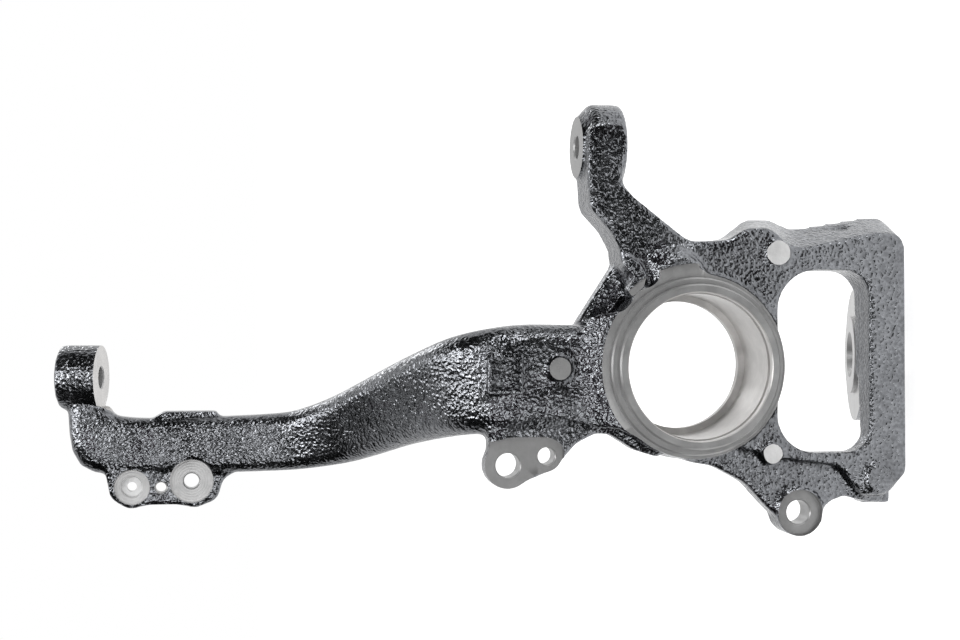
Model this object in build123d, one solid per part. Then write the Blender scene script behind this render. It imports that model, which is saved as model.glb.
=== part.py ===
"""Steering knuckle of a heavy car, right as cast and machined, in one iron casting.

Frame: the origin is on the wheel-bearing axis, half way along the bearing seat.
+Z is up, +X is towards the steering arm and -Y is outboard, towards the wheel.
All sizes are in millimetres.  Outlines are written as (up, forward) = (Z, X) pairs.
"""
from build123d import *
from math import atan2, cos, radians, sin, tan
import os

# ---- wheel bearing seat and hub -------------------------------------------------
SEAT_R = 44.0              # radius of the bearing seat
SEAT_W = 45.0              # width of the bearing seat
CIRCLIP_W = 2.0            # width of the circlip groove next to the seat
CIRCLIP_DEPTH = 2.0        # how far the groove goes into the wall
LIP_W = 5.0                # lip outboard of the groove
LIP_GAP = 0.7              # the lip is bored this much wider than the seat
SHOULDER_LEDGE = 4.2       # the bearing stops against a ledge of this height
SHOULDER_W = 6.0           # thickness of that shoulder
COLLAR_WALL = 6.0          # wall of the collar round the seat
COLLAR_STEP = 4.0          # step on the outside of the collar
COLLAR_STEP_W = 5.5        # width of the collar's first step
COLLAR_H = 10.0            # the collar stands this far out of the machined face
BARREL_WALL = 11.0         # wall of the cast barrel at the machined face
BARREL_DRAFT = 3.0         # the barrel grows by this much to its widest place
BARREL_WIDEST_Y = 4.0      # where that widest place is
FACING_REACH = 18.5        # the facing cutter clears this far out from the seat
RAMP_W = 15.0              # the cast skin rises to the machined face over this width

# ---- lower frame with the window ------------------------------------------------
FRAME_FRONT_Y = -16.5      # outboard face of the frame
FRAME_DEPTH = 30.5         # how deep the frame's bars are
FRAME_LOW_Z = -136.3       # lower edge of the frame
FRAME_TOP_X = 82.0         # steering-arm side of the frame
WINDOW_UP_Z = -53.0        # window: edge towards the hub
WINDOW_LOW_Z = -112.0      # window: edge towards the lower ball joint
WINDOW_FRONT_X = 59.0      # window: edge on the steering-arm side
WINDOW_BACK_X = -53.5      # window: edge on the caliper side
RELIEF_AFT_Y = -2.0        # the hollow behind the window starts here on the caliper side
RELIEF_FWD_Y = 12.5        # and here on the steering-arm side
RELIEF_DROP = 13.0         # it goes this far below the window's lower edge
EDGE_R = 3.0               # rounding of cast edges
RUN_SHARE = 0.48           # a corner's arc uses at most this much of a run

# ---- ball joints ---------------------------------------------------------------
KINGPIN_TILT = 11.5        # the kingpin axis leans inboard at the top, degrees
LOWER_TILT = 14.5          # the lower ball-joint seat leans a little more
LOWER_SEAT = (5.5, 45.5, -126.3)   # centre of the lower ball-joint seat
LOWER_SEAT_R = 43.0        # spot face of the lower ball joint
LOWER_RING_R = 25.0        # raised ring in that spot face
LOWER_RING_H = 2.7
LOWER_HOLE_R = 11.5
LOWER_BOSS_H = 24.0
LOWER_FLOOR_DROP = 12.0    # the floor round the boss lies this far below the spot face
CHEEK_T = 15.0             # thickness of the frame's side cheeks
UPPER_FACE = (-10.2, 147.0, 361.4)  # centre of the upper boss's machined lower face
UPPER_BOSS_R = 21.5
UPPER_BOSS_H = 26.8
UPPER_HOLE_R = 7.1

# ---- gooseneck -----------------------------------------------------------------
# each station: up, forward, inboard, width, thickness, and the heading of the neck
# in the up-forward plane (0 is straight up, 90 is forward). The bend stretches with the
# boss's height, and the straight end and the crook keep their distance from the boss.
UPPER_UP = UPPER_FACE[2]
NECK_FOOT = 121.0          # the bend starts here
NECK_RISE = 240.4          # from there up to the boss, as the bend below is drawn
STRETCH = (UPPER_UP - NECK_FOOT) / NECK_RISE
NECK = (
    (50.0, -6.0, 3.6, 62.0, 36.0, 0.0),
    (86.0, -7.0, 3.6, 65.0, 36.0, 0.0),
    (104.0, -7.6, 3.8, 66.0, 36.0, 0.0),
    (NECK_FOOT, -8.8, 4.8, 64.0, 35.5, -4.0),
    (NECK_FOOT + 16.0 * STRETCH, -11.5, 15.0, 60.5, 34.0, -10.0),
    (NECK_FOOT + 32.0 * STRETCH, -18.0, 40.0, 55.8, 32.0, -16.0),
    (NECK_FOOT + 48.0 * STRETCH, -26.0, 67.0, 51.5, 29.5, -20.0),
    (NECK_FOOT + 65.0 * STRETCH, -35.6, 93.0, 48.0, 28.0, -22.0),
    (NECK_FOOT + 82.5 * STRETCH, -44.2, 114.0, 44.4, 27.0, -22.0),
    (NECK_FOOT + 102.5 * STRETCH, -50.3, 127.0, 40.3, 26.0, -14.0),
    (NECK_FOOT + 122.5 * STRETCH, -53.4, 134.0, 38.2, 26.0, -6.0),
    (UPPER_UP - 64.9, -55.4, 141.0, 37.2, 26.0, 0.0),
    (UPPER_UP - 21.4, -55.8, 144.5, 37.6, 26.0, 3.0),
    (UPPER_UP + 0.8, -52.0, 146.0, 40.5, 26.0, 36.0),
    (UPPER_UP + 8.3, -33.0, 147.0, 27.0, 25.0, 70.0),
    (UPPER_UP + 10.1, -16.0, 147.5, 24.0, 24.0, 88.0),
)
NECK_ROUND = 0.36          # corner radius as a share of the neck's thickness
NECK_STEPS = 3             # flat-sided pieces between two stations

# ---- steering arm --------------------------------------------------------------
ARM_FRONT_Y = -14.5
ARM_DEPTH = 34.0
TIE_HOLE = (134.5, 10.0)   # forward and inboard place of the tie-rod hole
TIE_FACE_Z = 68.0
TIE_FACE_R = 18.2
TIE_BOSS_R = 26.5
TIE_BOSS_H = 27.0
TIE_CHAMFER = 7.5          # length of the cone behind the machined face
TIE_HOLE_R = 7.2

# ---- caliper ears --------------------------------------------------------------
EAR_Y = -8.0              # machined plane that both caliper ears share
EAR_SINK = 2.0             # that plane lies this far below the cast skin round it
EAR_UP = (114.1, -59.3)    # caliper hole of the upper ear
EAR_UP_R = 14.2
EAR_UP_T = 14.5
EAR_LOW = (-68.7, -90.7)   # caliper hole of the lower ear
EAR_LOW_R = 14.7
EAR_LOW_T = 18.0
CALIPER_HOLE_R = 7.4
SHIELD_HOLE = (90.5, -54.0)  # small hole of the upper ear
SHIELD_EAR_R = 9.4
SHIELD_HOLE_R = 5.2

# ---- small bosses and pads ------------------------------------------------------
PAD_Y = -18.0              # machined plane of the three datum pads
PAD_NECK = (84.0, -1.0, 6.3)     # up, forward, radius
PAD_FRONT = (-52.7, 69.3, 6.6)
PAD_BACK = (-48.8, -54.2, 5.6)
STOP_BOSS = (-117.5, -69.6, 9.3)
STOP_BOSS_H = 2.6

# ---- bracket tab on the gooseneck -----------------------------------------------
TAB_Y = 133.5
TAB_T = 12.0
TAB_SPOT_DEPTH = 1.6
TAB_BIG = (UPPER_UP - 59.4, -79.0, 14.5, 5.0)     # up, forward, spot-face and hole radius
TAB_SMALL = (UPPER_UP - 20.4, -82.6, 11.7, 3.2)
TAB_SMALL_CBORE = (6.9, 3.0)            # counterbore radius and depth
TAB_PIN = (UPPER_UP - 39.4, -83.0, 3.5)           # up, forward, hole radius

SHOULDER_R = SEAT_R - SHOULDER_LEDGE
BARREL_R = SEAT_R + BARREL_WALL
FACING_R = SEAT_R + FACING_REACH
COLLAR_FACE_Y = -(SEAT_W / 2 + CIRCLIP_W + LIP_W)
FACING_Y = COLLAR_FACE_Y + COLLAR_H
HUB_BACK_Y = SEAT_W / 2 + SHOULDER_W
FRAME_BACK_Y = FRAME_FRONT_Y + FRAME_DEPTH
ROOT_FRONT_Y = NECK[0][2] - NECK[0][4] / 2
STEP_Y = EAR_Y - EAR_SINK


def wheel_plane(y):
    """Plane across the wheel axis at y: local x is up, local y is forward."""
    return Plane(origin=(0, y, 0), x_dir=(0, 0, 1), z_dir=(0, 1, 0))


def fitted_radius(before, corner, after, radius):
    """Corner radius, kept small enough for the two runs that meet at the corner."""
    run_in = Vector(corner[0] - before[0], corner[1] - before[1])
    run_out = Vector(after[0] - corner[0], after[1] - corner[1])
    half_turn = radians(run_in.get_angle(run_out)) / 2
    shorter = min(run_in.length, run_out.length)
    return min(radius, RUN_SHARE * shorter / tan(half_turn))


def outline(y, corners):
    """Closed outline at y from (up, forward, corner radius) corners."""
    points = [(up, forward) for up, forward, _ in corners]
    radii = []
    for index, corner in enumerate(corners):
        after = corners[(index + 1) % len(corners)]
        radii.append(fitted_radius(corners[index - 1], corner, after, corner[2]))
    wire = FilletPolyline(*points, radius=radii, close=True)
    return wheel_plane(y) * make_face(wire)


def plate(y_front, y_back, corners):
    """Flat plate with the given outline between two places along the wheel axis."""
    return extrude(outline(y_front, corners), y_back - y_front)


def disc(y_front, y_back, up, forward, radius):
    """Cylinder along the wheel axis."""
    length = y_back - y_front
    place = wheel_plane(y_front + length / 2) * Location((up, forward, 0))
    return place * Cylinder(radius, length)


def frustum(y_front, y_back, up, forward, r_front, r_back):
    """Cone along the wheel axis, from its outboard radius to its inboard one."""
    front = wheel_plane(y_front) * Location((up, forward, 0)) * Circle(r_front)
    back = wheel_plane(y_back) * Location((up, forward, 0)) * Circle(r_back)
    return loft([front, back])


def round_front(solid, y, radius):
    """Round the edges of a solid that lie in the plane at y."""
    edges = solid.edges().filter_by_position(Axis.Y, y - 0.01, y + 0.01)
    return fillet(edges, radius)


def hub_barrel():
    """Turned hub: stepped collar outboard, drafted cast barrel behind it."""
    collar_r = SEAT_R + COLLAR_WALL
    widest_r = BARREL_R + BARREL_DRAFT
    profile = (
        (0, COLLAR_FACE_Y),
        (collar_r - 1, COLLAR_FACE_Y),
        (collar_r, COLLAR_FACE_Y + 1),
        (collar_r, COLLAR_FACE_Y + COLLAR_STEP_W),
        (collar_r + COLLAR_STEP - 1, COLLAR_FACE_Y + COLLAR_STEP_W),
        (collar_r + COLLAR_STEP, COLLAR_FACE_Y + COLLAR_STEP_W + 1),
        (collar_r + COLLAR_STEP, FACING_Y),
        (BARREL_R, FACING_Y),
        (widest_r, BARREL_WIDEST_Y),
        (BARREL_R, HUB_BACK_Y - 2),
        (BARREL_R - 2, HUB_BACK_Y),
        (0, HUB_BACK_Y),
    )
    face = make_face(Polyline(*profile, close=True))
    return revolve(face, Axis.Y)


def bearing_bore():
    """What the boring bar takes out: lip, circlip groove, seat and shoulder."""
    seat_in = SEAT_W / 2
    groove_out = -seat_in - CIRCLIP_W
    lip_r = SEAT_R + LIP_GAP
    profile = (
        (0, COLLAR_FACE_Y - 1),
        (lip_r + 1.6, COLLAR_FACE_Y - 1),
        (lip_r, COLLAR_FACE_Y + 0.6),
        (lip_r, groove_out),
        (SEAT_R + CIRCLIP_DEPTH, groove_out),
        (SEAT_R + CIRCLIP_DEPTH, -seat_in),
        (SEAT_R, -seat_in),
        (SEAT_R, seat_in),
        (SHOULDER_R, seat_in),
        (SHOULDER_R, HUB_BACK_Y - 1),
        (SHOULDER_R + 2, HUB_BACK_Y + 1),
        (0, HUB_BACK_Y + 1),
    )
    face = make_face(Polyline(*profile, close=True))
    return revolve(face, Axis.Y)


def facing_cut():
    """Ring that the facing cutter clears round the collar."""
    reach = 30
    ring = disc(FACING_Y - reach, FACING_Y, 0, 0, FACING_R)
    core = disc(FACING_Y - reach, FACING_Y, 0, 0, SEAT_R + COLLAR_WALL + COLLAR_STEP)
    return ring - core


def hub_land():
    """Cast skin that rises round the hub: a cone, a hump towards the arm and a short horn."""
    rise_y = FACING_Y + RAMP_W * 0.4
    cone = frustum(FACING_Y, rise_y, 0, 0, BARREL_R + 4, BARREL_R + 4 + RAMP_W)
    cone &= plate(FACING_Y - 1, rise_y + 1, (
        (FACING_R + 30, -36, 4), (FACING_R + 30, 26, 4), (45, 34, 4), (14, 50, 4), (8, 0, 4),
        (20, -50, 4), (50, -37, 4)))
    foot = outline(FRAME_FRONT_Y + 3, (
        (27, 45, 3), (30, 56, 4), (31, 67, 6), (22, 73, 8), (7, 76.5, 8), (-3, 70, 8), (-12, 57, 5),
        (-6, 44, 3)))
    crest = outline(FACING_Y - 3, (
        (19, 45, 3), (21, 53, 4), (20, 61, 4), (13, 64.5, 5), (6, 65.5, 5), (0, 61, 5), (-6, 53, 4),
        (-4, 44, 3)))
    hump = loft([foot, crest], ruled=True)
    horn = plate(FACING_Y + 0.4, FRAME_FRONT_Y + 8, (
        (46, 62, 3), (41, 66, 3), (35, 62, 4), (31, 55, 5), (33, 48, 3), (40, 41, 2), (43, 46, 3),
        (38.5, 54, 4)))
    return cone + hump + horn


def root_land():
    """Raised front of the gooseneck's root, above the step that carries the upper ear."""
    return plate(ROOT_FRONT_Y, 5, (
        (88, -10, 2), (106, -16, 2), (110.5, -16.5, 1.5), (112.5, -22, 2), (110, -24.6, 2), (86, -30, 14),
        (68, -34.4, 10), (49, -36.3, 6), (30, -42, 6), (20, -20, 4), (40, -8, 4)))


def frame_body():
    """Lower frame: drafted ring that carries the lower ball joint."""
    low = FRAME_LOW_Z
    top = FRAME_TOP_X
    front = outline(FRAME_FRONT_Y, (
        (0, 30, 2), (4, top - 6, 6), (-21, top - 5, 12), (-33, top + 2, 10),
        (-47, top + 2.5, 12), (-64, top - 11, 16), (-117, top, 12), (low + 1.5, top - 1, 10),
        (low, -66, 8), (low + 13, -80, 6), (-108, -80.5, 8), (-92, -61, 14),
        (-56, -56.5, 14), (-30, -50, 6), (0, -30, 2)))
    back = outline(FRAME_BACK_Y, (
        (0, 30, 2), (-6, top - 6.5, 6), (-25, top - 3, 14), (-41, top + 9.5, 12),
        (-58, top + 9.5, 12), (-71, top + 3.5, 14), (-117, top + 11, 12), (low + 1, top + 12.5, 9),
        (low - 0.5, -68, 8), (low + 13, -83, 6), (-108, -83, 8), (-92, -64, 14),
        (-56, -59, 14), (-30, -52, 6), (0, -30, 2)))
    return loft([front, back], ruled=True)


def window_cut():
    """Window of the frame, a little wider outboard than inboard."""
    up = WINDOW_UP_Z
    low = WINDOW_LOW_Z
    fwd = WINDOW_FRONT_X
    aft = WINDOW_BACK_X
    front = outline(FRAME_FRONT_Y - 1, ((up, aft, 24), (low, aft, 14), (low, fwd, 16), (up, fwd, 25)))
    back = outline(FRAME_BACK_Y + 60, (
        (up - 1, aft + 1, 24), (low + 1, aft + 1, 14), (low + 1, fwd - 1, 16), (up - 1, fwd - 1, 25)))
    return loft([front, back], ruled=True)


def window_relief():
    """Hollow behind the window; its lower bar is shallower on the caliper side."""
    side = 3.0
    aft = WINDOW_BACK_X - side
    fwd = WINDOW_FRONT_X + side
    back = FRAME_BACK_Y + 60
    points = ((aft, RELIEF_AFT_Y), (fwd, RELIEF_FWD_Y), (fwd, back), (aft, back))
    face = Plane.XY.offset(WINDOW_LOW_Z - RELIEF_DROP) * make_face(Polyline(*points, close=True))
    return extrude(face, RELIEF_DROP + 35)


def top_recess():
    """Cast recess in the frame's side towards the steering arm."""
    floor = FRAME_TOP_X + 2
    return plate(-9.0, 6.0, ((-76, floor + 20, 2), (-80, floor - 0.5, 3), (-105, floor + 0.5, 3),
        (-110, floor + 20, 2)))


def lower_web():
    """Web below the frame that carries the lower caliper ear."""
    ear_up, ear_fwd = EAR_LOW
    web = plate(STEP_Y, 6.0, (
        (10, -30, 4), (6, -58, 8), (-14, -61.5, 16), (-34, -72, 20), (-46, -85, 14),
        (ear_up + EAR_LOW_R + 0.2, ear_fwd - 2, 8), (ear_up + 4, ear_fwd - EAR_LOW_R + 4, 4),
        (ear_up - EAR_LOW_R + 1, ear_fwd, 4), (-89, -84.5, 5), (-98, -81, 7), (-111, -84.5, 5),
        (-124, -86, 3), (-125, -70, 4), (-80, -40, 4)))
    ear = disc(EAR_Y, EAR_Y + EAR_LOW_T, ear_up, ear_fwd, EAR_LOW_R)
    block = plate(-4.0, 10.0, ((-111, -76, 2), (-111, -86.3, 2), (-130.4, -86.3, 2), (-130.4, -76, 2)))
    return web + ear + block


def ear_up():
    """Upper caliper ear: two lobes on one machined face, on a lower step of the root."""
    up, fwd = EAR_UP
    shield_up, shield_fwd = SHIELD_HOLE
    back = EAR_Y + EAR_UP_T
    lobe = disc(EAR_Y, back, up, fwd, EAR_UP_R)
    small = disc(EAR_Y, back, shield_up, shield_fwd, SHIELD_EAR_R)
    tie = plate(EAR_Y, back, (
        (up + EAR_UP_R - 2, fwd + 4, 2), (up + EAR_UP_R - 3, fwd + 16, 3),
        (shield_up - SHIELD_EAR_R + 2, shield_fwd + 11, 3), (shield_up - SHIELD_EAR_R + 1, shield_fwd, 1),
        (shield_up - 3, shield_fwd - SHIELD_EAR_R + 0.5, 1), (up - 7, fwd - EAR_UP_R + 2.5, 6)))
    step = plate(STEP_Y, back, (
        (126.5, -5, 2), (126.5, fwd + 15.5, 1.5), (88, shield_fwd + 11.5, 1), (86, -56.5, 1),
        (80.5, -56, 2), (72, -46.5, 10), (60, -40.5, 9), (51, -41.5, 8), (36, -51, 8), (20, -56, 2),
        (15, -20, 2)))
    return lobe + small + tie + step


def ear_facings():
    """What is milled off in front of both ears."""
    front = EAR_Y - 30
    low = disc(front, EAR_Y, *EAR_LOW, EAR_LOW_R - 0.4)
    up = plate(front, EAR_Y, (
        (132, -46, 2), (121, -44.2, 5), (113, -42.3, 3), (88, -42.3, 8), (80, -48, 6), (80.3, -57, 2),
        (84, -75, 2), (132, -80, 2)))
    return low, up


def data_pad():
    """Raised rectangular pad with a shallow recess, at the end of the root."""
    rim = 2.0
    low, high, aft, fwd = 106.5, 127.5, -16.0, 5.8
    pad = plate(ROOT_FRONT_Y - 1.2, 12.0, ((low, aft, 1.5), (high, aft, 1.5), (high, fwd, 1.5),
        (low, fwd, 1.5)))
    recess = plate(ROOT_FRONT_Y - 4, ROOT_FRONT_Y + 0.2, (
        (low + rim, aft + rim, 1), (high - rim, aft + rim, 1), (high - rim, fwd - rim, 1),
        (low + rim, fwd - rim, 1)))
    return pad, recess


def between(values, share):
    """Smooth value between the middle two of four, at the given share of the way."""
    first, start, end, last = values
    pull_in = (end - first) / 2
    pull_out = (last - start) / 2
    cubic = 2 * (start - end) + pull_in + pull_out
    square = 3 * (end - start) - 2 * pull_in - pull_out
    return ((cubic * share + square) * share + pull_in) * share + start


def neck_line():
    """The gooseneck's stations, with smooth ones added between them."""
    count = len(NECK)
    line = []
    for index in range(count - 1):
        four = [NECK[min(max(index + offset, 0), count - 1)] for offset in (-1, 0, 1, 2)]
        for step in range(NECK_STEPS):
            line.append([between(values, step / NECK_STEPS) for values in zip(*four)])
    return line + [list(NECK[-1])]


def neck_section(line, index):
    """Rounded section of the gooseneck, square to its centre line."""
    up, fwd, inboard, width, thick, heading = line[index]
    before = line[max(index - 1, 0)]
    after = line[min(index + 1, len(line) - 1)]
    run = ((after[0] - before[0]) ** 2 + (after[1] - before[1]) ** 2) ** 0.5
    lean = atan2(after[2] - before[2], run)
    turn = radians(heading)
    along = Vector(sin(turn) * cos(lean), sin(lean), cos(turn) * cos(lean))
    depth = Vector(0, 1, 0) - along * along.Y
    plane = Plane(origin=(fwd, inboard, up), x_dir=depth, z_dir=along)
    return plane * RectangleRounded(thick, width, NECK_ROUND * thick)


def gooseneck():
    """Gooseneck, in short flat-sided pieces along its smooth line."""
    line = neck_line()
    return loft([neck_section(line, index) for index in range(len(line))], ruled=True)


def leaning_frame(centre, lean):
    """Frame whose z is up, leaning inboard by the given degrees."""
    tilt = radians(lean)
    return Plane(origin=centre, x_dir=(1, 0, 0), z_dir=(0, sin(tilt), cos(tilt)))


def upper_boss():
    """Boss of the upper ball joint, with its hole and the faced side below."""
    frame = leaning_frame(UPPER_FACE, KINGPIN_TILT)
    boss = frame * Location((0, 0, UPPER_BOSS_H / 2)) * Cylinder(UPPER_BOSS_R, UPPER_BOSS_H)
    hole = frame * Cylinder(UPPER_HOLE_R, UPPER_BOSS_H * 3)
    facing = frame * Location((0, 0, -10)) * Cylinder(UPPER_BOSS_R + 0.8, 20)
    top_edges = boss.edges().filter_by(GeomType.CIRCLE).sort_by(Axis.Z)[-1:]
    return chamfer(top_edges, 2.0), hole, facing


def lower_boss():
    """Boss of the lower ball joint: a round-nosed floor behind the frame's lower bar."""
    frame = leaning_frame(LOWER_SEAT, LOWER_TILT)
    outer_r = LOWER_SEAT_R
    body = frame * Location((0, 0, -LOWER_BOSS_H / 2)) * Cylinder(outer_r, LOWER_BOSS_H)
    floor_half = (WINDOW_FRONT_X - WINDOW_BACK_X) / 2 + CHEEK_T
    floor_x = (WINDOW_FRONT_X + WINDOW_BACK_X) / 2
    points = (
        (floor_x - floor_half, -32.0), (floor_x - floor_half, -14.0), (-outer_r * 0.78, outer_r * 0.62),
        (outer_r * 0.78, outer_r * 0.62), (floor_x + floor_half, -14.0), (floor_x + floor_half, -32.0))
    floor = frame * Location((0, 0, -LOWER_FLOOR_DROP)) * make_face(Polyline(*points, close=True))
    body += extrude(floor, LOWER_FLOOR_DROP - LOWER_BOSS_H)
    spot = frame * Location((0, 0, 25)) * Cylinder(LOWER_SEAT_R + 0.5, 50)
    ring = frame * Location((0, 0, LOWER_RING_H / 2)) * Cylinder(LOWER_RING_R, LOWER_RING_H)
    hole = frame * Cylinder(LOWER_HOLE_R, LOWER_BOSS_H * 4)
    return body, spot, ring, hole


def cheek(x_low, x_high):
    """Side cheek of the frame, deepening inboard towards the lower ball joint."""
    points = ((-6.0, -30.0), (14.0, -30.0), (18.0, -70.0), (24.0, -112.0), (24.0, -141.0), (-4.0, -134.0))
    face = Plane.YZ.offset(x_low) * make_face(FilletPolyline(*points, radius=4, close=True))
    return extrude(face, x_high - x_low)


def steering_arm():
    """Steering arm with the tie-rod boss at its end."""
    fwd, inboard = TIE_HOLE
    back = ARM_FRONT_Y + ARM_DEPTH
    arm = plate(ARM_FRONT_Y, back, (
        (66, 112, 12), (66, fwd + 7, 8), (62, fwd + 12.5, 3), (44.5, fwd + 12.5, 2), (44, 110, 8),
        (37, 102.5, 12), (4, 77, 16),
        (-8, 75.5, 4), (-8, 40, 4), (38, 40, 4), (45, 60, 8), (46, 71, 10), (52, 82, 12), (64.5, 96, 8)))
    arm = round_front(arm, ARM_FRONT_Y, EDGE_R / 3)
    body_h = TIE_BOSS_H - TIE_CHAMFER
    body = Location((fwd, inboard, TIE_FACE_Z - TIE_CHAMFER - body_h / 2)) * Cylinder(TIE_BOSS_R, body_h)
    cone = Location((fwd, inboard, TIE_FACE_Z - TIE_CHAMFER / 2)) * Cone(TIE_BOSS_R, TIE_FACE_R, TIE_CHAMFER)
    hole = Location((fwd, inboard, TIE_FACE_Z)) * Cylinder(TIE_HOLE_R, TIE_BOSS_H * 4)
    boss = chamfer((body + cone).edges().sort_by(Axis.Z)[0], 2.5)
    trim = Location((fwd, ARM_FRONT_Y - 50, TIE_FACE_Z)) * Box(200, 100, 200)
    return arm + (boss - trim), hole


def gusset():
    """Web in the corner between the steering arm and the gooseneck."""
    return plate(4.0, 17.0, ((40, 66, 2), (43.5, 65, 2), (69, 26, 2), (60, 10, 2), (30, 20, 2), (30, 50, 2)))


def bracket_tab():
    """Tab below the gooseneck with two spot-faced holes."""
    up = UPPER_UP
    tab = plate(TAB_Y, TAB_Y + TAB_T, (
        (up - 3.4, -60, 3), (up - 3.4, -74, 6), (up - 6.4, -90, 10), (up - 18.4, -97.5, 10),
        (up - 31.4, -94.5, 12), (up - 49.4, -94.5, 12), (up - 62.4, -97, 10), (up - 76.4, -91.5, 9),
        (up - 80.4, -78, 8), (up - 89.4, -72.5, 6), (up - 89.4, -60, 3)))
    cuts = []
    for up, fwd, spot_r, hole_r in (TAB_BIG, TAB_SMALL):
        cuts.append(disc(TAB_Y - 20, TAB_Y + TAB_SPOT_DEPTH, up, fwd, spot_r))
        cuts.append(disc(TAB_Y - 1, TAB_Y + TAB_T + 1, up, fwd, hole_r))
    cbore_r, cbore_depth = TAB_SMALL_CBORE
    floor = TAB_Y + TAB_SPOT_DEPTH
    cuts.append(disc(floor - 1, floor + cbore_depth, TAB_SMALL[0], TAB_SMALL[1], cbore_r))
    cuts.append(disc(TAB_Y - 1, TAB_Y + TAB_T + 1, *TAB_PIN))
    return tab, cuts


def neck_pad():
    """Flat cast pad on the forward side of the gooseneck."""
    up = UPPER_UP
    return plate(136.0, 152.0, (
        (up - 33.4, -50, 2), (up - 34.4, -37, 2), (up - 41.4, -32.8, 2), (up - 76.9, -32.8, 2),
        (up - 76.9, -50, 2)))


def datum_pads():
    """Three machined datum pads and the round cast stop boss."""
    up, fwd, radius = PAD_NECK
    pads = frustum(PAD_Y, -10.0, up, fwd, radius, radius + 6)
    for up, fwd, radius in (PAD_FRONT, PAD_BACK):
        pads += disc(PAD_Y, FRAME_FRONT_Y + 5, up, fwd, radius)
    up, fwd, radius = STOP_BOSS
    stop = frustum(FRAME_FRONT_Y - STOP_BOSS_H, FRAME_FRONT_Y + 6, up, fwd, radius - 0.6, radius + 0.8)
    return pads + stop


def holes_of_ears():
    """Through holes of the caliper ears, and what faces the upper ear."""
    back = EAR_Y + 40
    cuts = [disc(EAR_Y - 5, back, *EAR_UP, CALIPER_HOLE_R)]
    cuts.append(disc(EAR_Y - 5, back, *EAR_LOW, CALIPER_HOLE_R))
    cuts.append(disc(EAR_Y - 5, back, *SHIELD_HOLE, SHIELD_HOLE_R))
    return cuts


def knuckle():
    """The whole casting, then what is machined out of it."""
    boss_up, hole_up, face_up = upper_boss()
    body_low, spot_low, ring_low, hole_low = lower_boss()
    arm, hole_tie = steering_arm()
    tab, tab_cuts = bracket_tab()
    pad, recess = data_pad()
    solid = hub_barrel() + frame_body() + lower_web()
    solid += cheek(WINDOW_FRONT_X - 1, WINDOW_FRONT_X + CHEEK_T)
    solid += cheek(WINDOW_BACK_X - CHEEK_T, WINDOW_BACK_X + 1)
    solid -= window_relief()
    solid -= top_recess()
    solid += body_low
    solid -= window_cut()
    solid -= spot_low
    solid += ring_low
    solid += gooseneck()
    solid += root_land() + hub_land()
    solid += arm + gusset() + ear_up() + pad + datum_pads()
    solid += tab + neck_pad()
    solid += boss_up
    for cut in [facing_cut(), bearing_bore(), recess, hole_low, hole_up, face_up, hole_tie]:
        solid -= cut
    for cut in ear_facings():
        solid -= cut
    for cut in tab_cuts + holes_of_ears():
        solid -= cut
    return solid


os.makedirs("parts", exist_ok=True)
export_step(knuckle(), "parts/knuckle.step")
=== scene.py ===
"""Steering knuckle: a coated iron casting with bare machined faces, standing on a pale floor.

The casting is made as the foundry and the machine shop make it: a blank with stock where it will be
machined, all its edges and corners rounded, and then every machined face, bore and hole cut out of it.
Sizes are in millimetres in the row's frame, and meshes are built in metres.
"""
import logging
import math
from dataclasses import dataclass, field
from enum import Enum

import bmesh
import bpy
from mathutils import Euler, Matrix, Vector


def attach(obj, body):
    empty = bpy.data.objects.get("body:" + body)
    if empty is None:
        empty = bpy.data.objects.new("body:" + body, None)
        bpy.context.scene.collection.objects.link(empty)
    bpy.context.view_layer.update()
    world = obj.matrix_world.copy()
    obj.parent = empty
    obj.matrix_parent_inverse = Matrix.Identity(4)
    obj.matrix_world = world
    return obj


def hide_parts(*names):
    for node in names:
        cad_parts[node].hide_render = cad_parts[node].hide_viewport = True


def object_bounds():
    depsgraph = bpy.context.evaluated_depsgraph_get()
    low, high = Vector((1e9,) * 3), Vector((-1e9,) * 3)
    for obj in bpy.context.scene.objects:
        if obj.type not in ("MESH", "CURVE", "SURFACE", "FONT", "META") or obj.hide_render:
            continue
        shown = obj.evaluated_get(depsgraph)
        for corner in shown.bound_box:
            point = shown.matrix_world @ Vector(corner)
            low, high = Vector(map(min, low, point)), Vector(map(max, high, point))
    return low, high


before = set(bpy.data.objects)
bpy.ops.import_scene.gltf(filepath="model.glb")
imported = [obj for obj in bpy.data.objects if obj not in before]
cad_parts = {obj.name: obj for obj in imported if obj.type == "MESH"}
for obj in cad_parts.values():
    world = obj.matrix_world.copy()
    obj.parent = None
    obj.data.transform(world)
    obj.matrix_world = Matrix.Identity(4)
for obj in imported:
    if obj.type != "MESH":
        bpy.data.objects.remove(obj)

LOG = logging.getLogger("knuckle")
MM = 0.001
NODE = "knuckle"
CAD_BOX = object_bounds()

WELD_MM = 1e-4
LEVEL_MM = 1e-6
WAVE_RATE = 20.0  # radians per metre that the wave texture turns through at scale 1

# Sizes of the machined places and the planes they lie in, shared by the stock and the cuts.
SEAT_R, SEAT_W = 44.0, 45.0
COLLAR_FACE_Y, FACING_Y, HUB_BACK_Y = -29.5, -19.5, 28.5
BARREL_R, FACING_R = 55.0, 62.5
EAR_Y, PAD_Y, FRAME_FRONT_Y = -8.0, -18.0, -16.5
TAB_Y, TAB_SPOT = 133.5, 1.6
TIE_FACE_Z = 68.0

Spot = tuple[float, float, float]
Colour = tuple[float, float, float, float]
Span = tuple[float, float, float, float]  # low, high, start and end, as Nodes.scaled takes them


class Tool(Enum):
    """Which tool left a machined face, and so which marks it carries."""

    FACED = "faced"
    BORED = "bored"
    DRILLED = "drilled"


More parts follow.
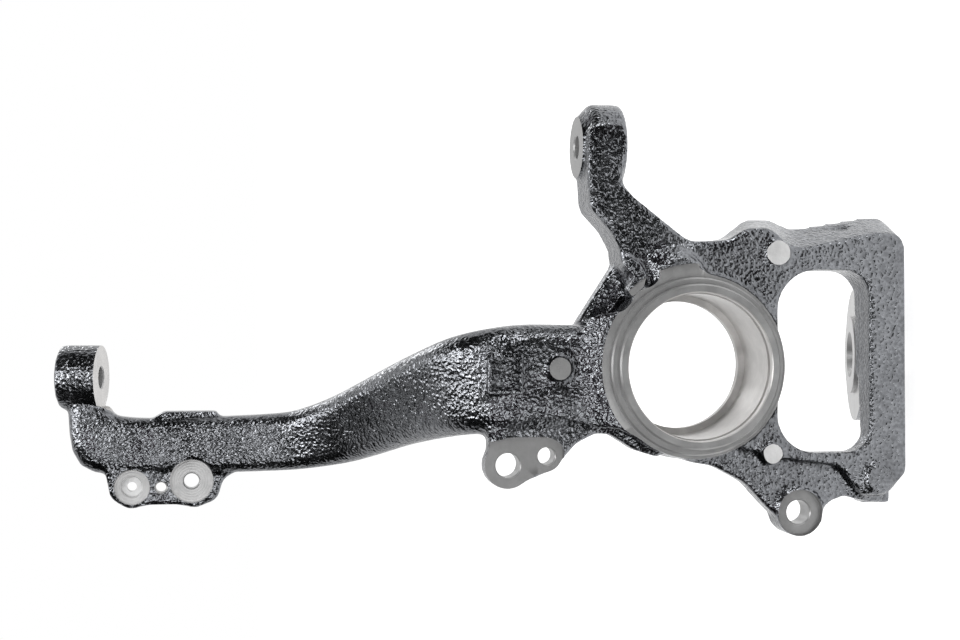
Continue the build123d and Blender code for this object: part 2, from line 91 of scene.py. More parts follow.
@dataclass(frozen=True)
class Place:
    """Where a tool works: the centre of its face and the lean of its axis.

    Local +Z runs out of the face. lean turns it about X: 90 faces outboard, and 0 faces up.
    """

    x: float
    y: float
    z: float
    lean: float = 90.0

    def centre(self) -> Vector:
        """Centre of the face in metres."""
        return Vector((self.x, self.y, self.z)) * MM

    def turn(self) -> Euler:
        """Turn from the tool's axes to the row's."""
        return Euler((math.radians(self.lean), 0.0, 0.0))

    def matrix(self) -> Matrix:
        """Tool's own axes, in millimetres, to the row's in metres."""
        return Matrix.Translation(self.centre()) @ self.turn().to_matrix().to_4x4() @ Matrix.Scale(MM, 4)


@dataclass
class Nodes:
    """Small helper that adds nodes to one material."""

    material: bpy.types.Material

    def add(self, kind: str, **values: object) -> bpy.types.Node:
        """Adds a node and sets its properties and unlinked inputs.

        Args:
            kind: the node's type name.
            **values: a property's name, or an input's name with spaces as underscores.

        Returns:
            The new node.
        """
        node = self.material.node_tree.nodes.new(kind)
        for name, value in values.items():
            if hasattr(node, name):
                setattr(node, name, value)
            else:
                node.inputs[name.replace("_", " ")].default_value = value
        return node

    def link(self, source: bpy.types.NodeSocket, target: bpy.types.NodeSocket) -> None:
        """Links two sockets."""
        self.material.node_tree.links.new(source, target)

    def ramp(self, source: bpy.types.NodeSocket, low: float, high: float,
             dark: Colour, light: Colour) -> bpy.types.NodeSocket:
        """Turns a value into a colour between two.

        Args:
            source: the value's socket.
            low: value where the first colour ends.
            high: value where the second begins.
            dark: the first colour.
            light: the second colour.

        Returns:
            The colour's socket.
        """
        node = self.add("ShaderNodeValToRGB")
        start, end = node.color_ramp.elements
        start.position, end.position = low, high
        start.color, end.color = dark, light
        self.link(source, node.inputs["Fac"])
        return node.outputs["Color"]

    def scaled(self, source: bpy.types.NodeSocket, low: float, high: float,
               start: float, end: float) -> bpy.types.NodeSocket:
        """Maps a value's range onto another, and holds it there.

        Args:
            source: the value's socket.
            low: value that gives start.
            high: value that gives end.
            start: result at the low value.
            end: result at the high value.

        Returns:
            The result's socket.
        """
        node = self.add("ShaderNodeMapRange", From_Min=low, From_Max=high, To_Min=start, To_Max=end)
        self.link(source, node.inputs["Value"])
        return node.outputs["Result"]

    def maths(self, operation: str, first: bpy.types.NodeSocket,
              second: bpy.types.NodeSocket) -> bpy.types.NodeSocket:
        """Joins two values.

        Args:
            operation: the Math node's operation.
            first: the first value's socket.
            second: the second value's socket.

        Returns:
            The result's socket.
        """
        node = self.add("ShaderNodeMath", operation=operation)
        self.link(first, node.inputs[0])
        self.link(second, node.inputs[1])
        return node.outputs["Value"]


def blank_material(name: str) -> tuple[Nodes, bpy.types.Node]:
    """Starts a material with one Principled shader.

    Args:
        name: the material's name.

    Returns:
        The node helper and the shader.
    """
    material = bpy.data.materials.new(name)
    material.use_nodes = True
    shader = material.node_tree.nodes["Principled BSDF"]
    return Nodes(material), shader


@dataclass(frozen=True)
class CastCoat:
    """Gloss black coat over a rough sand-cast skin. Sizes are in millimetres.

    The four tones say how the grain, the cloudiness, a painted shade in crevices and a painted highlight
    on sharp edges turn into the coat's level between its darkest and palest colours.
    """

    grain: float = 1.9
    grain_depth: float = 0.72
    wrinkle: float = 5.0
    wrinkle_depth: float = 0.5
    # crevice and edge are how far the occlusion looks for the painted crevice shade and the painted edge
    # highlight.
    crevice: float = 5.0
    edge: float = 2.6
    clouds: float = 38.0
    grain_tone: Span = (0.32, 0.68, 0.36, 0.58)
    cloud_tone: Span = (0.3, 0.7, 0.8, 1.15)
    # Painted shade: occlusion in crevices darkens the coat's colour there.
    painted_crevice_shade_tone: Span = (0.55, 0.96, 0.06, 1.0)
    # Painted highlight: inside occlusion on sharp convex edges lightens the coat's colour there.
    painted_edge_highlight_tone: Span = (0.9, 0.5, 0.0, 0.12)
    darkest_coat: Colour = (0.012, 0.012, 0.013, 1.0)
    palest_coat: Colour = (0.32, 0.33, 0.35, 1.0)
    gloss: float = 0.18
    matt: float = 0.3

    def material(self) -> bpy.types.Material:
        """Makes the coat: darker with a painted shade in crevices, brighter on the grain's tops, and
        brighter with a painted highlight on sharp edges.
        """
        nodes, shader = blank_material("cast_coat")
        coord = nodes.add("ShaderNodeTexCoord").outputs["Object"]
        cloud = nodes.add("ShaderNodeTexNoise", Scale=self.clouds, Detail=4.0, Roughness=0.6)
        grain = nodes.add("ShaderNodeTexNoise", Scale=1.0 / (self.grain * MM), Detail=0.6, Roughness=0.5)
        wrinkle = nodes.add("ShaderNodeTexNoise", Scale=1.0 / (self.wrinkle * MM), Detail=0.0,
                            Distortion=0.6)
        for node in (cloud, grain, wrinkle):
            nodes.link(coord, node.inputs["Vector"])
        # Painted shade in crevices and painted highlight on sharp edges, both from ambient occlusion put
        # into the colour.
        painted_crevice_shade = nodes.add("ShaderNodeAmbientOcclusion", samples=6, Distance=self.crevice * MM)
        painted_edge_highlight = nodes.add("ShaderNodeAmbientOcclusion", samples=6, inside=True, Distance=self.edge * MM)
        level = nodes.scaled(grain.outputs["Fac"], *self.grain_tone)
        for factor in (nodes.scaled(cloud.outputs["Fac"], *self.cloud_tone),
                       nodes.scaled(painted_crevice_shade.outputs["AO"], *self.painted_crevice_shade_tone)):
            level = nodes.maths("MULTIPLY", level, factor)
        # Adds the painted highlight on sharp edges to the coat's level.
        level = nodes.maths("ADD", level, nodes.scaled(painted_edge_highlight.outputs["AO"], *self.painted_edge_highlight_tone))
        nodes.link(nodes.ramp(level, 0.0, 1.0, self.darkest_coat, self.palest_coat), shader.inputs["Base Color"])
        low, high = self.cloud_tone[:2]
        shine = nodes.scaled(cloud.outputs["Fac"], low, high, self.gloss, self.matt)
        nodes.link(shine, shader.inputs["Roughness"])
        folds = nodes.add("ShaderNodeBump", Strength=1.0, Distance=self.wrinkle_depth * MM)
        skin = nodes.add("ShaderNodeBump", Strength=1.0, Distance=self.grain_depth * MM)
        nodes.link(wrinkle.outputs["Fac"], folds.inputs["Height"])
        nodes.link(grain.outputs["Fac"], skin.inputs["Height"])
        nodes.link(folds.outputs["Normal"], skin.inputs["Normal"])
        nodes.link(skin.outputs["Normal"], shader.inputs["Normal"])
        shader.inputs["Metallic"].default_value = 1.0
        return nodes.material


@dataclass(frozen=True)
class BareIron:
    """Bare machined iron with the marks that its tool left.

    pitch, depth and blast are in millimetres: the marks' spacing and height, and the height of the grit.
    """

    name: str
    place: Place
    tool: Tool
    pitch: float = 0.9
    depth: float = 0.012
    grey: float = 0.42
    warm: float = 0.0
    rough: float = 0.34
    spots: float = 70.0
    blast: float = 0.0
    bright: float = 0.5
    stained: float = 0.72
    stain_low: float = 0.3
    stain_high: float = 0.7
    smoother: float = 0.08
    duller: float = 0.1
    mark_strength: float = 0.7
    grit_scale: float = 900.0

    def tone(self, share: float) -> Colour:
        """Iron's colour at a share of its full brightness."""
        value = self.grey * share
        return (value * (1.0 + self.warm), value, value * (1.0 - self.warm), 1.0)

    def material(self) -> bpy.types.Material:
        """Makes the finish for one machined place."""
        nodes, shader = blank_material(self.name)
        coord = nodes.add("ShaderNodeTexCoord").outputs["Object"]
        centred = nodes.add("ShaderNodeMapping", vector_type="TEXTURE")
        centred.inputs["Location"].default_value = self.place.centre()
        centred.inputs["Rotation"].default_value = self.place.turn()
        nodes.link(coord, centred.inputs["Vector"])
        rings = nodes.add("ShaderNodeTexWave", Scale=math.tau / (WAVE_RATE * self.pitch * MM),
                          Distortion=0.6, Detail=2.0)
        if self.tool is Tool.FACED:
            rings.wave_type = "RINGS"
            rings.rings_direction = "Z"
        else:
            rings.wave_type = "BANDS"
            rings.bands_direction = "Z"
        nodes.link(centred.outputs["Vector"], rings.inputs["Vector"])
        stain = nodes.add("ShaderNodeTexNoise", Scale=self.spots, Detail=5.0, Roughness=0.62)
        nodes.link(coord, stain.inputs["Vector"])
        colour = nodes.ramp(stain.outputs["Fac"], self.stain_low, self.stain_high,
                            self.tone(self.stained), self.tone(1.0))
        nodes.link(colour, shader.inputs["Base Color"])
        shader.inputs["Metallic"].default_value = self.bright
        gloss = nodes.add("ShaderNodeMapRange", To_Min=self.rough - self.smoother,
                          To_Max=self.rough + self.duller)
        nodes.link(stain.outputs["Fac"], gloss.inputs["Value"])
        nodes.link(gloss.outputs["Result"], shader.inputs["Roughness"])
        marks = nodes.add("ShaderNodeBump", Strength=self.mark_strength, Distance=self.depth * MM)
        nodes.link(rings.outputs["Fac"], marks.inputs["Height"])
        fine = nodes.add("ShaderNodeTexNoise", Scale=self.grit_scale, Detail=2.0)
        nodes.link(coord, fine.inputs["Vector"])
        grit = nodes.add("ShaderNodeBump", Strength=1.0, Distance=self.blast * MM)
        nodes.link(fine.outputs["Fac"], grit.inputs["Height"])
        nodes.link(marks.outputs["Normal"], grit.inputs["Normal"])
        nodes.link(grit.outputs["Normal"], shader.inputs["Normal"])
        return nodes.material


def mesh_object(name: str, shape: bmesh.types.BMesh) -> bpy.types.Object:
    """Turns a bmesh into an object at the origin and frees it.

    Args:
        name: the object's name.
        shape: the finished bmesh, in metres.

    Returns:
        The linked object.
    """
    mesh = bpy.data.meshes.new(name)
    shape.to_mesh(mesh)
    shape.free()
    made = bpy.data.objects.new(name, mesh)
    bpy.context.scene.collection.objects.link(made)
    return made


def settled(made: bpy.types.Object) -> None:
    """Applies an object's modifiers to its mesh."""
    graph = bpy.context.evaluated_depsgraph_get()
    mesh = bpy.data.meshes.new_from_object(made.evaluated_get(graph))
    made.modifiers.clear()
    made.data = mesh


def poured(part: bmesh.types.BMesh, turn: Matrix, shape: bmesh.types.BMesh) -> None:
    """Moves a solid into place, adds it to a mesh and frees it.

    Args:
        part: the solid, in millimetres on its own axes.
        turn: what takes it to the row's axes, in metres.
        shape: the mesh that takes it.
    """
    part.transform(turn)
    mesh = bpy.data.meshes.new("solid")
    part.to_mesh(mesh)
    part.free()
    shape.from_mesh(mesh)
    bpy.data.meshes.remove(mesh)


@dataclass(frozen=True)
class Turned:
    """Solid of revolution about a tool's axis: a cut, or stock left for one."""

    place: Place
    profile: tuple[tuple[float, float], ...]
    steps: int = 96

    def add_to(self, shape: bmesh.types.BMesh) -> None:
        """Spins the profile into a bmesh.

        Args:
            shape: the bmesh that takes the solid. Profile points are (radius, height).
        """
        part = bmesh.new()
        rim = [part.verts.new((radius, 0.0, height)) for radius, height in self.profile]
        lines = [part.edges.new((rim[i - 1], rim[i])) for i in range(1, len(rim))]
        if self.profile[0][0] > 0.0:
            lines.append(part.edges.new((rim[-1], rim[0])))
        bmesh.ops.spin(part, geom=rim + lines, cent=(0, 0, 0), axis=(0, 0, 1),
                       angle=math.tau, steps=self.steps, use_merge=True)
        bmesh.ops.remove_doubles(part, verts=part.verts, dist=WELD_MM)
        bmesh.ops.recalc_face_normals(part, faces=part.faces)
        poured(part, self.place.matrix(), shape)


@dataclass(frozen=True)
class Prism:
    """Straight-sided solid across the wheel axis, from an outline of (up, forward, corner radius).

    edge is the radius of its outboard rim, which stays sharp at 0.
    """

    corners: tuple[tuple[float, float, float], ...]
    outboard: float
    inboard: float
    edge: float = 0.0
    corner_steps: int = 6
    edge_steps: int = 3

    def add_to(self, shape: bmesh.types.BMesh) -> None:
        """Extrudes the outline into a bmesh.

        Args:
            shape: the bmesh that takes the solid.
        """
        part = bmesh.new()
        rim = [part.verts.new((forward, self.outboard, up)) for up, forward, _ in self.corners]
        face = part.faces.new(rim)
        grown = bmesh.ops.extrude_face_region(part, geom=[face])
        far = [item for item in grown["geom"] if isinstance(item, bmesh.types.BMVert)]
        bmesh.ops.translate(part, verts=far, vec=(0.0, self.inboard - self.outboard, 0.0))
        part.edges.ensure_lookup_table()
        upright = [edge for edge in part.edges
                   if abs(edge.verts[0].co.y - edge.verts[1].co.y) > LEVEL_MM]
        for edge in upright:
            near = edge.verts[0].co
            radius = min(self.corners, key=lambda c: (c[1] - near.x) ** 2 + (c[0] - near.z) ** 2)[2]
            bmesh.ops.bevel(part, geom=[edge], offset=radius, offset_type="WIDTH",
                            segments=self.corner_steps, profile=0.5, affect="EDGES", material=-1)
        bmesh.ops.recalc_face_normals(part, faces=part.faces)
        if self.edge > 0.0:
            rim = [edge for edge in part.edges
                   if all(abs(vert.co.y - self.outboard) < LEVEL_MM for vert in edge.verts)]
            bmesh.ops.bevel(part, geom=rim, offset=self.edge, offset_type="OFFSET",
                            segments=self.edge_steps, profile=0.5, affect="EDGES", material=-1)
        poured(part, Matrix.Scale(MM, 4), shape)


Solid = Turned | Prism


def solid_object(name: str, solid: Solid) -> bpy.types.Object:
    """Makes an object of one solid.

    Args:
        name: the object's name.
        solid: the solid.

    Returns:
        The linked object.
    """
    shape = bmesh.new()
    solid.add_to(shape)
    return mesh_object(name, shape)


def worked(casting: bpy.types.Object, operation: str, tools: list[bpy.types.Object],
           materials: str = "INDEX") -> None:
    """Joins solids to a casting or cuts them out of it, and removes them.

    Args:
        casting: the object that is changed.
        operation: UNION or DIFFERENCE.
        tools: the solids.
        materials: TRANSFER leaves the solids' finishes on the faces that they make.
    """
    group = bpy.data.collections.new("tools")
    for tool in tools:
        bpy.context.scene.collection.objects.unlink(tool)
        group.objects.link(tool)
    change = casting.modifiers.new("change", "BOOLEAN")
    change.operation = operation
    change.solver = "EXACT"
    change.operand_type = "COLLECTION"
    change.collection = group
    change.material_mode = materials
    settled(casting)
    for tool in tools:
        bpy.data.objects.remove(tool)
    bpy.data.collections.remove(group)


def peg(place: Place, radius: float, low: float, high: float) -> Turned:
    """Plain cylinder on a tool's axis between two heights.

    Args:
        place: the tool's place.
        radius: the cylinder's radius.
        low: height of its inner end.
        high: height of its outer end.

    Returns:
        The turned solid.
    """
    return Turned(place, ((0.0, low), (radius, low), (radius, high), (0.0, high)))


HUB = Place(0.0, 0.0, 0.0)
EAR_UP = Place(-59.3, EAR_Y, 114.1)
EAR_LOW = Place(-90.7, EAR_Y, -68.7)
SHIELD = Place(-54.0, EAR_Y, 90.5)
PADS = (Place(-1.0, PAD_Y, 84.0), Place(69.3, PAD_Y, -52.7), Place(-54.2, PAD_Y, -48.8))
PAD_RADII = (6.3, 6.6, 5.6)
UPPER = Place(-10.2, 147.0, 361.4, 180.0 - 11.5)
LOWER = Place(5.5, 45.5, -126.3, -14.5)
TIE = Place(134.5, 10.0, TIE_FACE_Z, 0.0)
TAB_BIG = Place(-79.0, TAB_Y + TAB_SPOT, 302.0)
TAB_SMALL = Place(-82.6, TAB_Y + TAB_SPOT, 341.0)
TAB_PIN = Place(-83.0, TAB_Y, 322.0)
STOP = Place(-69.6, FRAME_FRONT_Y, -117.5)


@dataclass
class Blank:
    """Rough casting: the knuckle's shape with stock on every machined place, all corners rounded.

    stock is rounded with the casting. The proud marks are joined after that, so they stay crisp.
    """

    voxel: float = 1.75
    smoothing: int = 4
    stock: list[Solid] = field(default_factory=lambda: [
        peg(HUB, BARREL_R + 1.0, FACING_Y, -COLLAR_FACE_Y + 4.0),
        peg(HUB, 50.0, -HUB_BACK_Y, 0.0),
        peg(EAR_UP, 14.2, -12.0, 5.0),
        peg(EAR_LOW, 14.7, -15.0, 5.0),
        Prism(((126.5, -47.0, 2.0), (114.0, -43.5, 2.0), (88.0, -43.5, 2.0),
               (84.0, -58.0, 2.0), (112.0, -66.0, 2.0)),
              EAR_Y - 2.0, EAR_Y + 6.0),
        peg(SHIELD, 9.4, -12.0, 5.0),
        *(peg(place, radius, -4.0, 4.0) for place, radius in zip(PADS, PAD_RADII)),
        peg(UPPER, 21.5, -24.0, 5.0),
        peg(LOWER, 43.0, -18.0, 5.0),
        peg(TIE, 18.2, -24.0, 5.0),
        peg(TAB_BIG, 15.0, -8.0, 1.6),
        peg(TAB_SMALL, 12.5, -8.0, 1.6),
        peg(TAB_PIN, 6.0, -10.0, 0.0),
    ])
    proud: list[Solid] = field(default_factory=lambda: [
        Prism(((88.0, -10.0, 2.0), (106.0, -14.0, 2.0), (110.5, -16.5, 1.5), (112.5, -22.0, 2.0),
               (110.0, -24.6, 2.0), (86.0, -30.0, 12.0), (68.0, -34.4, 10.0), (49.0, -38.0, 3.0),
               (52.0, -22.0, 3.0), (70.0, -12.0, 3.0)),
              -14.9, 4.0, 1.3),
        Prism(((106.5, -16.0, 1.5), (127.5, -16.0, 1.5), (127.5, 5.8, 1.5), (106.5, 5.8, 1.5)),
              -16.3, 4.0, 0.5),
        Prism(((46.0, 62.0, 3.0), (41.0, 66.0, 3.0), (35.0, 62.0, 3.0), (31.0, 55.0, 3.0),
               (33.0, 48.0, 2.0), (40.0, 42.0, 2.0), (43.0, 46.0, 2.0), (39.0, 54.0, 3.0)),
              -20.2, -9.0, 0.9),
        Turned(STOP, ((0.0, -6.0), (9.6, -6.0), (8.8, 1.4), (7.6, 2.6), (0.0, 2.6)), 64),
    ])

    def raise_marks(self, casting: bpy.types.Object) -> None:
        """Joins the small sharp pattern marks that the rounding would have taken away.

        Args:
            casting: the rounded casting.
        """
        worked(casting, "UNION", [solid_object("mark", solid) for solid in self.proud])

    def build(self, node: bpy.types.Object) -> bpy.types.Object:
        """Makes the blank.

        Args:
            node: the object whose shape it takes.

        Returns:
            The rounded casting, before machining.
        """
        shape = bmesh.new()
        shape.from_mesh(node.data)
        bmesh.ops.remove_doubles(shape, verts=shape.verts, dist=1e-5)
        for solid in self.stock:
            solid.add_to(shape)
        made = mesh_object("knuckle_casting", shape)
        remesh = made.modifiers.new("sand_mould", "REMESH")
        remesh.mode = "VOXEL"
        remesh.voxel_size = self.voxel * MM
        soften = made.modifiers.new("rounded_corners", "SMOOTH")
        soften.factor = 0.5
        soften.iterations = self.smoothing
        settled(made)
        self.raise_marks(made)
        LOG.info("blank: %d faces", len(made.data.polygons))
        return made


@dataclass(frozen=True)
class Cut:
    """One machining operation: what the tool takes out and the finish it leaves."""

    name: str
    solid: Solid
    finish: BareIron | CastCoat


@dataclass
class Machining:
    """Everything that is machined out of the blank.

    Afterwards points closer than burr, in millimetres, are merged in deburring passes, and loose scraps
    of at most sliver_faces faces are dropped.
    """

    cuts: list[Cut] = field(default_factory=list)
    burr: float = 0.02
    sliver_faces: int = 12
    deburring: int = 3
    countersink: float = 0.8

    def face(self, name: str, place: Place, radius: float, reach: float, **looks: float) -> None:
        """Adds a spot face.

        Args:
            name: the finish's name.
            place: centre of the face.
            radius: the cutter's radius.
            reach: how far in front of the face it clears.
            **looks: settings of the finish.
        """
        finish = BareIron(name, place, Tool.FACED, **looks)
        self.cuts.append(Cut(name, peg(place, radius, 0.0, reach), finish))

    def hole(self, name: str, place: Place, radius: float, depth: float, **looks: float) -> None:
        """Adds a through hole with a small countersink.

        Args:
            name: the finish's name.
            place: centre of the hole at its face.
            radius: the hole's radius.
            depth: how deep the drill goes.
            **looks: settings of the finish.
        """
        finish = BareIron(name, place, Tool.DRILLED, **looks)
        lead, clear = self.countersink, 3.0
        profile = ((0.0, -depth), (radius, -depth), (radius, -lead),
                   (radius + lead + clear, clear), (0.0, clear))
        self.cuts.append(Cut(name, Turned(place, profile, 64), finish))

    def hub(self) -> None:
        """Adds the cuts that turn and bore the hub."""
        face = -COLLAR_FACE_Y
        seat = SEAT_W / 2
        lip = SEAT_R + 0.7
        collar = SEAT_R + 6.0
        step = collar + 4.0
        facing = ((0.0, face), (collar - 1.0, face), (collar, face - 1.0), (collar, face - 5.5),
                  (step - 1.0, face - 5.5), (step, face - 6.5), (step, -FACING_Y),
                  (FACING_R, -FACING_Y), (FACING_R, face + 20.0), (0.0, face + 20.0))
        bore = ((0.0, face + 2.0), (lip + 2.6, face + 2.0), (lip, face - 0.6), (lip, seat + 2.0),
                (SEAT_R + 2.0, seat + 2.0), (SEAT_R + 2.0, seat), (SEAT_R, seat), (SEAT_R, -seat),
                (39.8, -seat), (39.8, 1.0 - HUB_BACK_Y), (41.8, -1.0 - HUB_BACK_Y),
                (42.0, -60.0), (0.0, -60.0))
        self.cuts.append(Cut("hub_facing", Turned(HUB, facing, 160),
                             BareIron("hub_facing", HUB, Tool.FACED, pitch=0.8, grey=0.33)))
        self.cuts.append(Cut("hub_bore", Turned(HUB, bore, 160),
                             BareIron("hub_bore", HUB, Tool.BORED, pitch=0.5, grey=0.6, warm=0.02)))

    def plan(self, coat: CastCoat) -> "Machining":
        """Lists every operation in the shop's order.

        Args:
            coat: finish of the cast recess, which is cut here only because it is sharp.

        Returns:
            The same machining, ready to cut.
        """
        self.hub()
        window_pad = Prism(((108.5, -14.0, 1.0), (125.5, -14.0, 1.0), (125.5, 3.8, 1.0), (108.5, 3.8, 1.0)),
                           -30.0, -14.6)
        self.cuts.append(Cut("data_pad", window_pad, coat))
        pocket = Prism(((132.0, -46.0, 2.0), (121.0, -44.2, 5.0), (113.0, -42.3, 3.0), (88.0, -42.3, 8.0),
                        (80.0, -48.0, 6.0), (80.3, -57.0, 2.0), (84.0, -75.0, 2.0), (132.0, -80.0, 2.0)),
                       EAR_Y - 20.0, EAR_Y)
        self.cuts.append(Cut("ear_up_face", pocket, BareIron("ear_up_face", EAR_UP, Tool.FACED, grey=0.25)))
        self.face("ear_low_face", EAR_LOW, 14.3, 20.0, grey=0.25)
        pads = (("pad_neck", 0.3), ("pad_front", 0.68), ("pad_back", 0.68))
        for place, radius, (name, grey) in zip(PADS, PAD_RADII, pads):
            self.face(name, place, radius + 1.6, 12.0, grey=grey, blast=0.12)
        self.face("upper_face", UPPER, 22.3, 20.0, grey=0.6, warm=0.02)
        ring = ((0.0, 2.7), (25.0, 2.7), (25.0, 0.0), (43.5, 0.0), (43.5, 50.0), (0.0, 50.0))
        self.cuts.append(Cut("lower_face", Turned(LOWER, ring, 128),
                             BareIron("lower_face", LOWER, Tool.FACED, grey=0.62)))
        self.face("tie_face", TIE, 40.0, 30.0, grey=0.28)
        coarse = {"bright": 0.3, "pitch": 1.7, "depth": 0.06}
        self.face("tab_big_face", TAB_BIG, 14.5, 20.0, grey=0.54, **coarse)
        self.face("tab_small_face", TAB_SMALL, 11.7, 20.0, grey=0.52, **coarse)
        self.hole("ear_up_hole", EAR_UP, 7.4, 40.0)
        self.hole("ear_low_hole", EAR_LOW, 7.4, 40.0)
        self.hole("shield_hole", SHIELD, 5.2, 40.0)
        self.hole("upper_hole", UPPER, 7.1, 60.0)
        self.hole("lower_hole", LOWER, 11.5, 70.0)
        self.hole("tie_hole", TIE, 7.2, 60.0)
        self.hole("tab_big_hole", TAB_BIG, 5.0, 30.0)
        seat = ((0.0, -3.0), (6.9, -3.0), (6.9, -0.5), (7.9, 0.5), (7.9, 3.0), (0.0, 3.0))
        self.cuts.append(Cut("tab_counterbore", Turned(TAB_SMALL, seat, 64),
                             BareIron("tab_counterbore", TAB_SMALL, Tool.FACED, grey=0.7)))
        self.hole("tab_small_hole", TAB_SMALL, 3.2, 30.0)
        self.hole("tab_pin_hole", TAB_PIN, 3.5, 30.0)
        return self

    def drop_slivers(self, shape: bmesh.types.BMesh) -> int:
        """Deletes the tiny folded slivers that cutting leaves beside the casting's skin.

        Args:
            shape: the machined mesh, which is changed.

        Returns:
            How many faces were deleted.
        """
        shape.faces.index_update()
        seen: set[int] = set()
        slivers: list[bmesh.types.BMFace] = []
        for first in shape.faces:
            if first.index in seen:
                continue
            seen.add(first.index)
            island, front = [], [first]
            while front:
                face = front.pop()
                island.append(face)
                sides = [edge.link_faces for edge in face.edges if len(edge.link_faces) == 2]
                for other in (other for pair in sides for other in pair):
                    if other.index not in seen:
                        seen.add(other.index)
                        front.append(other)
            if len(island) <= self.sliver_faces:
                slivers += island
        bmesh.ops.delete(shape, geom=slivers, context="FACES")
        return len(slivers)

    def cut(self, casting: bpy.types.Object) -> None:
        """Cuts every operation out of a casting.

        Args:
            casting: the blank, which becomes the machined part.
        """
        tools = []
        for operation in self.cuts:
            tool = solid_object(operation.name, operation.solid)
            tool.data.materials.append(operation.finish.material())
            tools.append(tool)
        worked(casting, "DIFFERENCE", tools, materials="TRANSFER")
        shape = bmesh.new()
        shape.from_mesh(casting.data)
        for _ in range(self.deburring):
            bmesh.ops.triangulate(shape, faces=shape.faces)
            bmesh.ops.remove_doubles(shape, verts=shape.verts, dist=self.burr * MM)
            bmesh.ops.dissolve_degenerate(shape, edges=shape.edges, dist=self.burr * MM)
        LOG.info("slivers dropped: %d faces", self.drop_slivers(shape))
        shape.to_mesh(casting.data)
        shape.free()
        faces, finishes = len(casting.data.polygons), len(casting.data.materials)
        LOG.info("machined: %d faces, %d materials", faces, finishes)


@dataclass
class Knuckle:
    """The whole knuckle: blank, coat and machining."""

    blank: Blank = field(default_factory=Blank)
    machining: Machining = field(default_factory=Machining)
    coat: CastCoat = field(default_factory=CastCoat)
    sharp_angle: float = 38.0

    def build(self, node: bpy.types.Object) -> bpy.types.Object:
        """Builds the knuckle in place of its CAD node.

        Args:
            node: the CAD node's object.

        Returns:
            The finished piece.
        """
        casting = self.blank.build(node)
        casting.data.materials.append(self.coat.material())
        self.machining.plan(self.coat).cut(casting)
        casting.data.shade_smooth()
        casting.data.set_sharp_from_angle(angle=math.radians(self.sharp_angle))
        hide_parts(NODE)
        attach(casting, "root")
        return casting


@dataclass(frozen=True)
class Lamp:
    """One square area lamp: where it hangs and its side, in metres, and its power in watts."""

    name: str
    spot: Spot
    size: float
    power: float


LAMPS = (
    Lamp("lamp_high", (1.25, -0.9, 0.1), 0.5, 6.0),
    Lamp("lamp_left", (0.1, -0.85, 1.45), 0.5, 9.0),
    Lamp("lamp_side", (0.05, 0.0, 1.7), 0.55, 7.0),
    Lamp("lamp_front", (-0.4, -1.6, -0.05), 0.6, 3.2),
    Lamp("lamp_low", (-0.7, -1.35, 0.45), 0.5, 3.6),
    Lamp("lamp_key", (0.45, -1.5, 0.95), 0.45, 5.0),
    Lamp("lamp_back", (0.8, 1.4, 0.9), 0.5, 4.0),
)


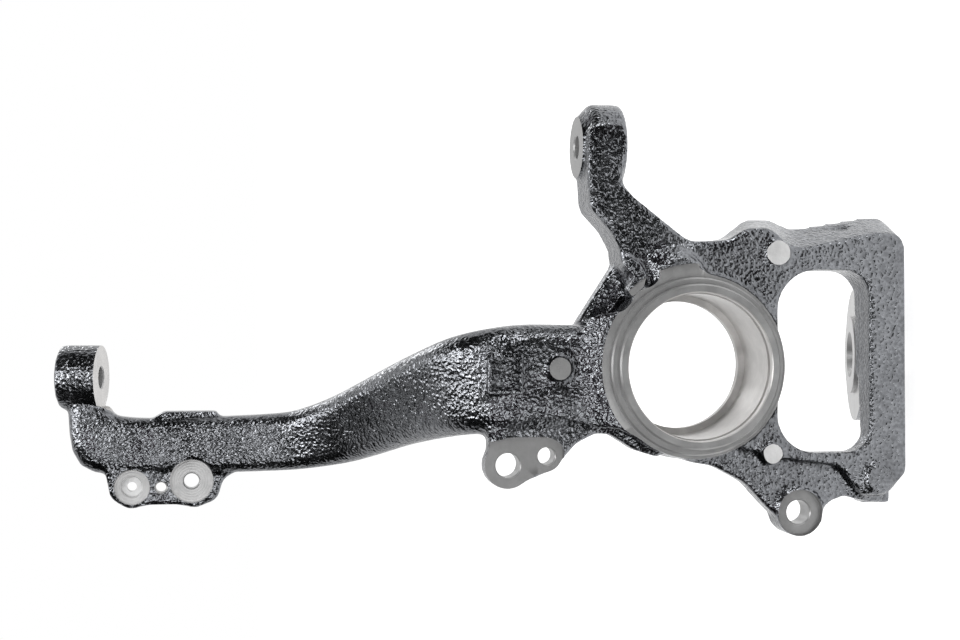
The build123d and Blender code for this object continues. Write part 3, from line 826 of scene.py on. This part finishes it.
@dataclass
class Studio:
    """White tent with a black hood on the camera's side, hidden lamps, a pale floor and the camera.

    Sizes are in metres. The hood ends at hood_cut of its radius behind the object, and fades in from
    hood_clear to hood_black of it.
    """

    floor_half: float = 6.0
    floor_front: float = -0.3
    floor_gap: float = 0.0005
    floor_lift: float = 0.8
    lens: float = 63.75
    sensor: float = 36.0
    eye: Spot = (0.0282, -1.0136, 0.2994)
    tilt: float = 9.5
    tent_light: float = 0.3
    hood_radius: float = 2.6
    hood_cut: float = 0.55
    hood_clear: float = 0.5
    hood_black: float = 0.1
    lamp_target: Spot = (0.0, 0.0, 0.1)

    def floor(self, low: float) -> None:
        """Lays a pale floor below the object.

        Args:
            low: height of the object's lowest point, in metres.
        """
        shape = bmesh.new()
        centre_y = self.floor_half + self.floor_front
        bmesh.ops.create_grid(shape, x_segments=1, y_segments=1, size=self.floor_half,
                              matrix=Matrix.Translation((0.0, centre_y, low - self.floor_gap)))
        floor = mesh_object("floor", shape)
        nodes, shader = blank_material("pale_floor")
        shader.inputs["Base Color"].default_value = (0.85, 0.85, 0.85, 1.0)
        shader.inputs["Roughness"].default_value = 0.9
        shader.inputs["Specular IOR Level"].default_value = 0.0
        shader.inputs["Emission Color"].default_value = (1.0, 1.0, 1.0, 1.0)
        path = nodes.add("ShaderNodeLightPath")
        seen = nodes.add("ShaderNodeMath", operation="MAXIMUM")
        mirrored = nodes.add("ShaderNodeMath", operation="MAXIMUM")
        nodes.link(path.outputs["Is Camera Ray"], seen.inputs[0])
        nodes.link(path.outputs["Is Transmission Ray"], seen.inputs[1])
        nodes.link(seen.outputs["Value"], mirrored.inputs[0])
        nodes.link(path.outputs["Is Glossy Ray"], mirrored.inputs[1])
        lift = nodes.add("ShaderNodeMath", operation="MULTIPLY")
        lift.inputs[1].default_value = self.floor_lift
        nodes.link(mirrored.outputs["Value"], lift.inputs[0])
        nodes.link(lift.outputs["Value"], shader.inputs["Emission Strength"])
        floor.data.materials.append(nodes.material)

    def tent(self) -> None:
        """Makes the white surroundings, which light the object much less than they show."""
        world = bpy.data.worlds.new("tent")
        bpy.context.scene.world = world
        world.use_nodes = True
        tree = world.node_tree
        background = tree.nodes["Background"]
        background.inputs["Color"].default_value = (1.0, 1.0, 1.0, 1.0)
        path = tree.nodes.new("ShaderNodeLightPath")
        level = path.outputs["Is Camera Ray"]
        for kind in ("Is Glossy Ray", "Is Transmission Ray"):
            either = tree.nodes.new("ShaderNodeMath")
            either.operation = "MAXIMUM"
            tree.links.new(level, either.inputs[0])
            tree.links.new(path.outputs[kind], either.inputs[1])
            level = either.outputs["Value"]
        shade = tree.nodes.new("ShaderNodeMapRange")
        shade.inputs["To Min"].default_value = self.tent_light
        tree.links.new(level, shade.inputs["Value"])
        tree.links.new(shade.outputs["Result"], background.inputs["Strength"])

    def hood(self) -> None:
        """Hangs a black hood round the camera's side, soft at its rim. Only reflections see it."""
        shape = bmesh.new()
        bmesh.ops.create_uvsphere(shape, u_segments=48, v_segments=24, radius=self.hood_radius)
        behind = [vert for vert in shape.verts if vert.co.y > self.hood_cut * self.hood_radius]
        bmesh.ops.delete(shape, geom=behind, context="VERTS")
        bmesh.ops.reverse_faces(shape, faces=shape.faces)
        hood = mesh_object("black_hood", shape)
        nodes, shader = blank_material("black_cloth")
        shader.inputs["Base Color"].default_value = (0.01, 0.01, 0.01, 1.0)
        shader.inputs["Roughness"].default_value = 1.0
        shader.inputs["Specular IOR Level"].default_value = 0.0
        parts = nodes.add("ShaderNodeSeparateXYZ")
        nodes.link(nodes.add("ShaderNodeTexCoord").outputs["Object"], parts.inputs["Vector"])
        rim = nodes.add("ShaderNodeMapRange", interpolation_type="SMOOTHSTEP",
                        From_Min=self.hood_clear * self.hood_radius,
                        From_Max=self.hood_black * self.hood_radius)
        nodes.link(parts.outputs["Y"], rim.inputs["Value"])
        nodes.link(rim.outputs["Result"], shader.inputs["Alpha"])
        hood.data.materials.append(nodes.material)
        hood.visible_camera = hood.visible_diffuse = hood.visible_shadow = False

    def hang(self, lamp: Lamp) -> None:
        """Hangs one lamp that faces the object and that the camera doesn't see.

        Args:
            lamp: the lamp's description.
        """
        light = bpy.data.lights.new(lamp.name, "AREA")
        light.size, light.energy = lamp.size, lamp.power
        made = bpy.data.objects.new(lamp.name, light)
        made.location = lamp.spot
        aim = Vector(self.lamp_target) - Vector(lamp.spot)
        made.rotation_euler = aim.to_track_quat("-Z", "Y").to_euler()
        made.visible_camera = False
        bpy.context.scene.collection.objects.link(made)

    def camera(self) -> None:
        """Sets the camera at the viewing angle, rolled so that the part lies on its side."""
        data = bpy.data.cameras.new("camera")
        data.lens, data.sensor_width = self.lens, self.sensor
        made = bpy.data.objects.new("camera", data)
        lean = math.radians(self.tilt)
        right = Vector((0.0, -math.sin(lean), -math.cos(lean)))
        up = Vector((1.0, 0.0, 0.0))
        turn = Matrix((right, up, right.cross(up))).transposed()
        made.matrix_world = Matrix.Translation(self.eye) @ turn.to_4x4()
        bpy.context.scene.collection.objects.link(made)
        bpy.context.scene.camera = made

    def build(self, low: float) -> None:
        """Sets up floor, surroundings, lamps and camera.

        Args:
            low: height of the object's lowest point, in metres.
        """
        self.floor(low)
        self.tent()
        self.hood()
        for lamp in LAMPS:
            self.hang(lamp)
        self.camera()
        bpy.context.scene.view_settings.view_transform = "Standard"


def main() -> None:
    """Builds the knuckle and its studio."""
    logging.basicConfig(level=logging.INFO, format="%(name)s: %(message)s")
    casting = Knuckle().build(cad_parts[NODE])
    LOG.info("%s: %d triangles", casting.name, sum(len(p.vertices) - 2 for p in casting.data.polygons))
    Studio().build(CAD_BOX[0][2])


if __name__ == "__main__":
    main()
